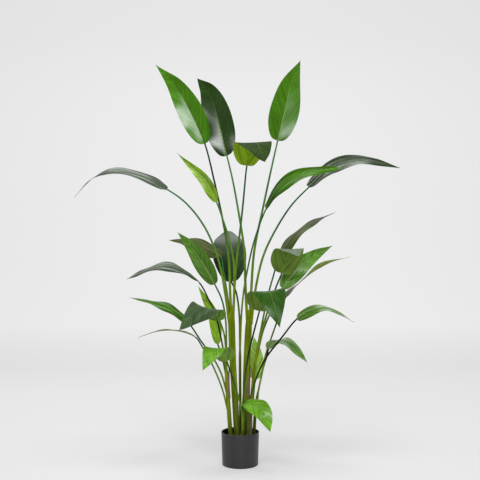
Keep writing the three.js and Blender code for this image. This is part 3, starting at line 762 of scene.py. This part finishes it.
# Of each blade: width, taper, shoulder, uneven, cup, wave, where its second half lies at the tip if it
# turns, its finish, how light it is, how glossy, how deep its long folds are, and how pale its rib is,
# from a painted shade in the rib's groove at 0 to the rib's own pale colour at 1.
blades = {
    "leaf_01": (120, 1.25, 0.5, 0, 14, 4, None, "bright", 0.82, 0.95, 0, 0.1),
    "leaf_02": (139, 0.95, 0.5, 0, 10, 5, None, "deep", 0.48, 1.0, 0, 0.6),
    "leaf_03": (158, 0.95, 0.5, 0.14, 0, 4, (1, 0.1, 0.15), "lime_back", 1.1, 0.08, 0, 0.4),
    "leaf_04": (134, 1.1, 0.5, 0, 9, 2, None, "bright", 0.6, 0.55, 0, 0.5),
    "leaf_05": (57, 1.3, 0.5, 0, 22, 3, None, "lime", 0.95, 0.5, 0.5, 0.6),
    "leaf_06": (118, 1.2, 0.5, 0, 0, 3, (0, -1, -0.25), "dull", 1.0, 0.45, 1.8, 0.3),
    "leaf_07": (114, 1.05, 0.5, 0, 1, 3, None, "bright", 0.64, 0.28, 1.8, 0.6),
    "leaf_08": (118, 1.05, 0.4, 0, 3, 3, (0, 0.8, 0.66), "dull", 0.9, 0.55, 1.8, 0.2),
    "leaf_09": (102, 1.05, 0.4, 0, -8, 4, (-0.1, 0.95, 0.15), "olive", 0.9, 0.12, 1.0, 0.6),
    "leaf_10": (138, 1.0, 0.5, 0, 2, 3, (1, 0.1, 0.05), "leafy", 0.76, 0.4, 0, 0.6),
    "leaf_11": (86, 1.2, 0.5, 0, 6, 3, None, "sage", 1.8, 0.7, 0.6, 0.8),
    "leaf_12": (94, 2.2, 0.5, 0, 4, 3, (0, 1, -1.6), "olive", 1.3, 0.4, 0.5, 0.6),
    "leaf_13": (148, 1.15, 0.5, 0, 2, 4, (1, 0.1, 0.1), "leafy", 0.9, 0.3, 0.4, 0.7),
    "leaf_14": (80, 1.05, 0.4, 0, -6, 3, (0.3, 0.95, 0.05), "sage", 1.2, 0.65, 1.4, 0.5),
    "leaf_15": (76, 1.05, 0.5, 0, 0, 3, (0.8, 0.55, 0.15), "soft", 1.45, 0.8, 1.2, 0.6),
    # Leaf_16 is painted paler and brighter than the lime skin: painted light, for the light shining
    # through it from behind.
    "leaf_16": (72, 1.05, 0.5, 0, 10, 3, None, "pale", 1.55, 0.6, 0, 0.6),
    "leaf_17": (90, 0.95, 0.5, 0, 4, 3, (0.82, -0.03, 0.55), "fresh", 1.0, 0.85, 0, 0.5),
    "leaf_18": (104, 1.05, 0.5, 0, 2, 3, None, "fresh", 0.9, 0.3, 0, 0.6),
    "leaf_19": (54, 1.05, 0.5, 0, 16, 3, None, "lime", 1.25, 0.5, 0, 0.6),
    "leaf_20": (124, 1.0, 0.5, 0, 0, 4, (0.97, 0.1, -0.2), "dull", 1.9, 0.15, 0.6, 0.3),
    "leaf_21": (88, 1.25, 0.5, 0, -5, 3, (0, -1, -0.18), "bright", 0.72, 0.25, 1.6, 0.8),
    "leaf_22": (74, 1.05, 0.5, 0, 6, 2, None, "olive", 1.2, 0.4, 0.5, 0.6),
    "leaf_23": (92, 1.05, 1.1, 0, 0, 4, None, "dull", 1.1, 0.5, 1.8, 0.6),
    "leaf_24": (80, 1.15, 0.5, 0, 10, 3, None, "sage", 0.9, 0.0, 0.5, 0.5),
    "leaf_25": (160, 0.75, 0.5, 0, 6, 4, None, "night", 1.3, 0.65, 0, 0.0),
    "leaf_26": (110, 1.05, 0.5, 0, -5, 3, None, "olive", 0.8, 0.03, 1.2, 0.8),
}
# Of each finish: its slot, how much its skin shines, how rough its wax is, and the colours of the
# upper side, underside and rib.
finishes = {
    "lime": ("leaf_lime", 0.2, 0.2, (0.155, 0.3, 0.007), (0.17, 0.31, 0.014), (0.34, 0.52, 0.1)),
    # A paler, bluer copy of the lime skin: painted light, for the light that shines through leaf_16 from
    # behind.
    "pale": ("leaf_lime", 0.2, 0.25, (0.26, 0.44, 0.065), (0.28, 0.46, 0.07), (0.45, 0.6, 0.2)),
    "fresh": ("leaf_lime", 0.2, 0.24, (0.115, 0.31, 0.01), (0.12, 0.22, 0.02), (0.22, 0.42, 0.06)),
    "lime_back": ("leaf_lime", 0.0, 0.35, (0.016, 0.03, 0.008), (0.19, 0.33, 0.012), (0.34, 0.46, 0.04)),
    "bright": ("leaf_bright", 0.0, 0.18, (0.038, 0.138, 0.005), (0.07, 0.16, 0.02), (0.24, 0.4, 0.1)),
    "sage": ("leaf_bright", 0.08, 0.24, (0.048, 0.122, 0.014), (0.085, 0.16, 0.03), (0.3, 0.42, 0.16)),
    "deep": ("leaf_deep", 0.1, 0.16, (0.016, 0.04, 0.006), (0.065, 0.13, 0.012), (0.1, 0.2, 0.03)),
    "night": ("leaf_deep", 0.08, 0.42, (0.009, 0.026, 0.006), (0.065, 0.13, 0.012), (0.05, 0.09, 0.03)),
    "leafy": ("leaf_deep", 0.08, 0.22, (0.018, 0.06, 0.004), (0.13, 0.225, 0.024), (0.22, 0.34, 0.06)),
    "soft": ("leaf_deep", 0.15, 0.3, (0.064, 0.152, 0.027), (0.11, 0.18, 0.035), (0.32, 0.45, 0.18)),
    "dull": ("leaf_deep", 0.08, 0.28, (0.02, 0.036, 0.014), (0.065, 0.13, 0.012), (0.1, 0.16, 0.06)),
    "olive": ("leaf_olive", 0.06, 0.25, (0.052, 0.074, 0.012), (0.13, 0.19, 0.03), (0.17, 0.23, 0.08)),
}
# The blades' pattern: how strong the side veins and the rib are in the colour, how much a streak and a
# patch lighten or darken the skin, how much painted light and shade a long fold lays on it, how pale a
# vein may be and how dark the painted shade in a rib's groove is, the skin's roughness from dull to
# glossy, and how high each mark stands.
vein_strength, rib_strength = 0.32, 0.85
streak_tones, patch_tones, fold_light_and_shade = (0.66, 1.34), (0.8, 1.2), 0.45
palest_vein, rib_groove_shade, rib_tone_below = 4.5, 0.25, 0.7
gloss_roughness = (0.48, 0.26)
relief_height = 0.0014
relief_shares = {"Veins": 0.08, "Ridges": 1.0, "Fine Veins": 0.03}
fold_relief = 3.0


def blade_tree():
    """A leaf blade from the line of its rib."""
    tree, given, result = new_group("leaf_blade", "GeometryNodeTree", {
        "Rib": "Geometry", "Rows": 150, "Columns": 41, "Row Crowding": 1.45, "Column Crowding": 1.6,
        "Width": 0.1, "Taper": 1.0, "Shoulder": 0.5, "Uneven": 0.0, "Across Base": "Vector",
        "Across Tip": "Vector", "Cup": 0.0, "Base Fullness": 0.12, "Fullness Reach": 0.045,
        "Base Half Width": 0.0026, "Tip Half Width": 0.0006, "Lobe Size": 1 / 40, "Lobe Reach": 0.03,
        "Wave Height": 0.003, "Waves": 2.2, "Wave Shift": 0.0, "Full Wave Half Width": 0.03,
        "Thickness": 0.0009, "Edge Thinning": 0.22, "Rib Depth": 0.003, "Rib Fade": 0.85,
        "Rib Half Width": 0.0026, "Channel Depth": 0.0016, "Channel Sharpness": 2.2,
        "Pleat Height": 0.00025, "Pleat Spacing": 0.017, "Pleat Slant": 1.9, "Fold Height": 0.0,
        "Fold Spacing": 0.027, "Fold Reach": 0.06, "Unevenness": 0.003, "Lightness": 1.0, "Gloss": 0.5,
        "Rib Tone": 0.5, "Folds": 0.0, "Material": "Material"}, ["Blade"])
    power, size_of, sine, cosine, fade, least, most = (partial(add_math, name) for name in (
        "POWER", "ABSOLUTE", "SINE", "COSINE", "EXPONENT", "MINIMUM", "MAXIMUM"))
    added, taken, unit = (partial(add_vector, name) for name in ("ADD", "SUBTRACT", "NORMALIZE"))
    cup, width, full_turn = given["Cup"], given["Width"], 2 * math.pi
    sheet = node(tree, "GeometryNodeMeshGrid", {
        "Size X": 1.0, "Size Y": 2.0, "Vertices X": given["Rows"], "Vertices Y": given["Columns"]})
    row, column, _ = parts(node(tree, "GeometryNodeInputPosition"))
    share = least(power(plus(row, 0.5), given["Row Crowding"]), 1.0)
    side_of = add_math("SIGN", column)
    v = times(side_of, power(size_of(column), given["Column Crowding"]))
    v_squared = times(v, v)
    to_edge, to_tip = minus(1.0, v_squared), minus(1.0, share)
    second_half = most(side_of, 0.0)

    rib = node(tree, "GeometryNodeMeshToCurve", {"Mesh": given["Rib"]})
    on_rib = add_node(tree, "GeometryNodeSampleCurve", {"Curves": rib, "Factor": share}, mode="FACTOR")
    here, along = on_rib.outputs["Position"], on_rib.outputs["Tangent"]
    from_base = times(share, node(tree, "GeometryNodeCurveLength", {0: rib}))
    hint = added(given["Across Base"], scaled(taken(given["Across Tip"], given["Across Base"]), share))
    side = unit(taken(hint, scaled(along, add_vector("DOT_PRODUCT", hint, along, at=1))))
    up = add_vector("CROSS_PRODUCT", along, side)

    def outline(at):
        return times(power(at, given["Shoulder"]), power(minus(1.0, at), given["Taper"]))

    widest = over(given["Shoulder"], plus(given["Shoulder"], given["Taper"]))
    shape = over(outline(share), outline(widest))
    at_base = fade(times(over(share, given["Fullness Reach"]), -1.0))
    shape = times(shape, plus(times(given["Base Fullness"], at_base), 1.0))
    slimmer = minus(given["Tip Half Width"], given["Base Half Width"])
    slimmest = plus(given["Base Half Width"], times(share, slimmer))
    half = most(times(shape, times(width, 0.5)), slimmest)
    reach = times(half, v, minus(1.0, times(second_half, given["Uneven"])))
    out = size_of(reach)
    far = minus(add_math("SQRT", plus(times(reach, reach), crease_softness**2)), crease_softness)
    lean = over(reach, plus(far, crease_softness))

    lobe = over(share, given["Lobe Reach"])
    lobe = times(lobe, fade(minus(1.0, lobe)), v_squared, times(width, given["Lobe Size"]))
    phase = times(share, times(given["Waves"], full_turn))
    phase = plus(phase, given["Wave Shift"], times(second_half, 2.0))
    waved = least(over(half, given["Full Wave Half Width"]), 1.0)
    ripple = times(given["Wave Height"], waved, v_squared, sine(phase))
    slanted = minus(from_base, times(out, given["Pleat Slant"]))
    pleat = sine(times(over(slanted, given["Pleat Spacing"]), full_turn))
    pleat = times(pleat, given["Pleat Height"], to_edge)
    fold = cosine(times(over(out, given["Fold Spacing"]), full_turn))
    fold_fade = fade(times(over(out, given["Fold Reach"]), -1.0))
    fold = times(fold, fold_fade, given["Fold Height"], to_tip)
    bumpy = times(minus(cloud(here, 9.0, 1.0), 0.5), given["Unevenness"], v)
    lift = plus(times(far, sine(cup)), ripple, plus(pleat, fold, bumpy))
    middle = added(taken(here, scaled(along, lobe)), scaled(side, times(reach, cosine(cup))))
    middle = added(middle, scaled(up, lift))
    tilt = scaled(side, times(lean, sine(cup)))
    outward = unit(taken(scaled(up, cosine(cup)), tilt))

    skin = times(given["Thickness"], minus(0.5, times(v_squared, given["Edge Thinning"])))
    from_rib = over(reach, given["Rib Half Width"])
    on_rib_line = fade(times(from_rib, from_rib, -1.0))
    in_channel = power(on_rib_line, given["Channel Sharpness"])
    keel = times(given["Rib Depth"], minus(1.0, times(share, given["Rib Fade"])), on_rib_line)
    channel = times(given["Channel Depth"], to_tip, in_channel)
    upper = added(middle, scaled(outward, minus(skin, channel)))
    lower = taken(middle, scaled(outward, plus(skin, keel)))

    def store(geometry, name, value, kind="FLOAT", domain="POINT"):
        inputs = {"Geometry": geometry, "Name": name, "Value": value}
        return node(tree, "GeometryNodeStoreNamedAttribute", inputs, data_type=kind, domain=domain)

    for name, value in (("upper_side", upper), ("lower_side", lower),
                        ("blade_spot", xyz(from_base, reach, share))):
        sheet = store(sheet, name, value, "FLOAT_VECTOR")
    back = moved_to(recall(tree, "lower_side", "FLOAT_VECTOR"), sheet)
    inputs = {"Mesh": back, "Offset Scale": 0.0005, "Individual": False}
    shell = add_node(tree, "GeometryNodeExtrudeMesh", inputs, mode="FACES").outputs
    front = moved_to(recall(tree, "upper_side", "FLOAT_VECTOR"), shell["Mesh"], shell["Top"])
    blade = joined(store(front, "underside", 0.0, domain="FACE"),
                   store(node(tree, "GeometryNodeFlipFaces", {0: back}), "underside", 1.0, domain="FACE"))
    blade = node(tree, "GeometryNodeMergeByDistance", {"Geometry": blade, "Distance": 0.000002})
    for label in ("Lightness", "Gloss", "Rib Tone", "Folds"):
        blade = store(blade, label.lower().replace(" ", "_"), given[label])
    return finish_tree(node(tree, "GeometryNodeSetShadeSmooth", {0: blade}), given, result)


def vein_group():
    """The rib and the side veins of a blade, from how far along and how far out a point is."""
    tree, given, result = new_group("leaf_veins", "ShaderNodeTree", {
        "Spot": "Vector", "Vein Spacing": 0.0115, "Fine Spacing": 0.0023, "Slant": 1.4, "Bend": 9.0,
        "Wander": 0.005, "Wanders": 14.0, "Rib Half Width": 0.0027},
        ["Veins", "Fine Veins", "Rib", "Streaks", "Ridges", "Long Folds"])
    from_base, reach, share = parts(given["Spot"])
    out = add_math("ABSOLUTE", reach)
    slanted = times(plus(out, times(out, out, given["Bend"])), given["Slant"])
    wander = times(cloud(given["Spot"], given["Wanders"], 1.0), given["Wander"])
    lines = plus(minus(from_base, slanted), wander)
    for spacing, low, label in (("Vein Spacing", 0.1, "Veins"), ("Fine Spacing", -1.0, "Fine Veins")):
        wave = add_math("SINE", times(over(lines, given[spacing]), 2 * math.pi))
        tree.links.new(spread(wave, low, 1.0, 0.0, 1.0), result[label])
    rib = spread(over(out, times(given["Rib Half Width"], minus(1.15, share))), 0.6, 1.3, 1.0, 0.0)
    tree.links.new(times(rib, spread(share, 0.25, 0.8, 1.0, 0.2)), result["Rib"])
    # Of each pattern: a point's place across and along its streaks, its level, detail and roughness.
    for label, across, along, level, detail, rough in (
            ("Long Folds", times(reach, 42.0), times(from_base, 5.0), 3.0, 1.0, 0.5),
            ("Streaks", times(lines, 52.0), times(reach, 8.0), 0.0, 3.0, 0.6),
            ("Ridges", times(lines, 95.0), times(reach, 5.0), 7.0, 0.6, 0.5)):
        tree.links.new(cloud(xyz(across, along, level), 1.0, detail, rough), result[label])
    return tree


leaf_veins = vein_group()


def leaf_skin(name, shine, wax, upper, under, rib):
    """The waxy skin of one finish of leaf, darker and glossier above than below."""
    made, tree, shader, place = new_material(name, Specular_IOR_Level=shine, Coat_Roughness=wax)
    underside, lightness, gloss, folds, rib_tone = (
        carried(tree, key) for key in ("underside", "lightness", "gloss", "folds", "rib_tone"))
    veins = add_group(tree, leaf_veins, {"Spot": carried(tree, "blade_spot", "Vector")})
    mottle = add_group(tree, surface_mottle, {"Place": place, "Patch Size": 0.09, "Grain Size": 0.004})
    shade = times(lightness, spread(mottle["Patches"], 0.3, 0.7, *patch_tones),
                  spread(veins["Streaks"], 0.38, 0.62, *streak_tones))
    # Painted light and shade along the long folds: the colour is lighter on their ridges and darker in
    # their creases.
    crease = times(folds, spread(veins["Long Folds"], 0.42, 0.58, -fold_light_and_shade, fold_light_and_shade))
    shade = times(shade, plus(crease, 1.0))
    tint = node(tree, "ShaderNodeCombineColor", {0: shade, 1: shade, 2: shade})
    colour = add_mix(1.0, add_mix(underside, upper, under), tint, blend="MULTIPLY")
    vein_above = tuple(min(vein, palest_vein * skin) for vein, skin in zip(rib, upper))
    vein_colour = add_mix(underside, vein_above, rib)
    colour = add_mix(times(veins["Veins"], vein_strength), colour, vein_colour)
    rib_tone = add_math("MAXIMUM", rib_tone, times(underside, rib_tone_below))
    # The rib's colour runs from a painted shade in its groove, at rib tone 0, to its own pale colour at
    # 1.
    rib_colour = add_mix(rib_tone, tuple(rib_groove_shade * c for c in upper), rib)
    colour = add_mix(times(veins["Rib"], rib_strength), colour, rib_colour)
    rough = plus(spread(veins["Streaks"], 0.3, 0.7, -0.05, 0.07),
                 spread(gloss, 0.0, 1.0, *gloss_roughness), times(underside, 0.1))
    coat = times(gloss, spread(underside, 0.0, 1.0, 1.0, 0.3),
                 spread(crease, -fold_light_and_shade, fold_light_and_shade, 0.1, 1.9))
    feed(shader, Base_Color=colour, Roughness=rough, Coat_Weight=coat)
    marks = [times(veins[label], share) for label, share in relief_shares.items()]
    add_bump(shader, plus(*marks, times(crease, fold_relief)), relief_height)
    return made


leaf_blade = blade_tree()
skins = {finish: leaf_skin("leaf_" + finish, *rest) for finish, (_, *rest) in finishes.items()}
for leaf, row in blades.items():
    width, taper, shoulder, uneven, cup, wave, tip, finish, lightness, gloss, fold, rib_tone = row
    across, stalk, rib = leaves[leaf][3:]
    points, _ = smooth_line(stalk + rib, len(stalk) + (len(stalk[0]) == 2))
    piece = grown(line_object(leaf + "_rib", [{"points": points}]), leaf_blade, leaf + "_blade", {
        "Rows": blade_rows + more_rows * (width > wide_blade), "Width": width / 1000, "Taper": taper,
        "Shoulder": shoulder, "Uneven": float(uneven), "Across Base": across, "Across Tip": tip or across,
        "Cup": math.radians(cup), "Wave Height": wave / 1000, "Wave Shift": float(rib[0][0]),
        "Fold Height": fold / 1000, "Folds": min(fold / full_fold, 1.0), "Lightness": lightness,
        "Gloss": float(gloss), "Rib Tone": float(rib_tone), "Material": skins[finish]})
    for unused in ("upper_side", "lower_side"):
        piece.data.attributes.remove(piece.data.attributes[unused])
    piece.data.set_sharp_from_angle(angle=sharp_edge)
    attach(piece, "root")
    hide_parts(leaf)


# ---- Floor, light and camera -----------------------------
# A plain pale studio: one sheet that is the floor and curves up behind as the wall, soft boxes above,
# behind and at the front, and the camera level with the plant's middle, 3.5 m in front of it.

paper_grey = 0.34
paper_glow = 0.54
bend_radius, wall_y, wall_top = 1.6, 4.2, 9.0
floor_front, half_width = -9.0, 12.0

studio, tree, shader, place = new_material("studio_paper", Roughness=0.95, Specular_IOR_Level=0.0)
shader.inputs["Base Color"].default_value = (paper_grey, paper_grey, paper_grey, 1)
shader.inputs["Emission Strength"].default_value = paper_glow
_, away, height = parts(place)
glow = spread(height, 0.0, 0.25, spread(away, -0.6, 1.6, 0.70, 0.83), 1.0)
from_behind = node(tree, "ShaderNodeNewGeometry", at="Backfacing")
feed(shader, Emission_Color=glow, Alpha=spread(from_behind, 0.0, 1.0, 1.0, 0.0))
path = [(floor_front, 0.0), (wall_y - bend_radius, 0.0)]
path += [(wall_y - bend_radius + bend_radius * math.sin(t), bend_radius - bend_radius * math.cos(t))
         for t in np.radians(np.linspace(5, 90, 18))]
path += [(wall_y, wall_top)]
points = [(x, y, z) for y, z in path for x in (-half_width, half_width)]
faces = [(2 * i, 2 * i + 1, 2 * i + 3, 2 * i + 2) for i in range(len(path) - 1)]
floor = new_piece("studio_floor", points, faces, studio)
floor.data.shade_smooth()

# The air of the studio is pale to look at, and gives little light.
world = bpy.data.worlds.new("studio_air")
bpy.context.scene.world = world
world.use_nodes = True
tree = world.node_tree
path = add_node(tree, "ShaderNodeLightPath").outputs
air = add_mix(path["Is Camera Ray"], add_mix(path["Is Glossy Ray"], 0.2, 0.03), 0.79)
tree.links.new(air, tree.nodes["Background"].inputs["Color"])


def soft_box(name, place, target, size, power, shows=True):
    """A rectangular studio light, looking at a point. One that doesn't show leaves no reflection."""
    lamp = bpy.data.lights.new(name, "AREA")
    lamp.shape = "RECTANGLE"
    lamp.size, lamp.size_y = size
    lamp.energy = power
    made = add_object(name, lamp)
    made.location = place
    made.rotation_euler = (Vector(target) - Vector(place)).to_track_quat("-Z", "Y").to_euler()
    made.visible_glossy = shows


soft_box("key_box", (-0.95, -3.05, 4.3), (0.0, 0.0, 1.5), (2.2, 0.9), 62)
soft_box("key_halo", (-1.05, -3.20, 4.4), (0.0, 0.0, 1.5), (3.3, 1.8), 46)
soft_box("top_box", (0.0, -0.7, 4.2), (0.0, 0.0, 0.0), (1.4, 1.2), 80, shows=False)
soft_box("back_strip", (0.0, 2.4, 4.2), (0.0, 0.1, 1.0), (3.2, 2.2), 44)
soft_box("front_fill", (1.6, -5.2, 2.4), (0.0, 0.0, 1.0), (3.0, 3.0), 110, shows=False)

camera_data = bpy.data.cameras.new("camera")
camera_data.lens = 59.4
camera_data.sensor_width = 36
camera = add_object("camera", camera_data)
camera.location = (-0.0009, -3.5, 0.99)
camera.rotation_euler = (math.radians(90), 0, 0)
bpy.context.scene.camera = camera
bpy.context.scene.view_settings.view_transform = "Standard"
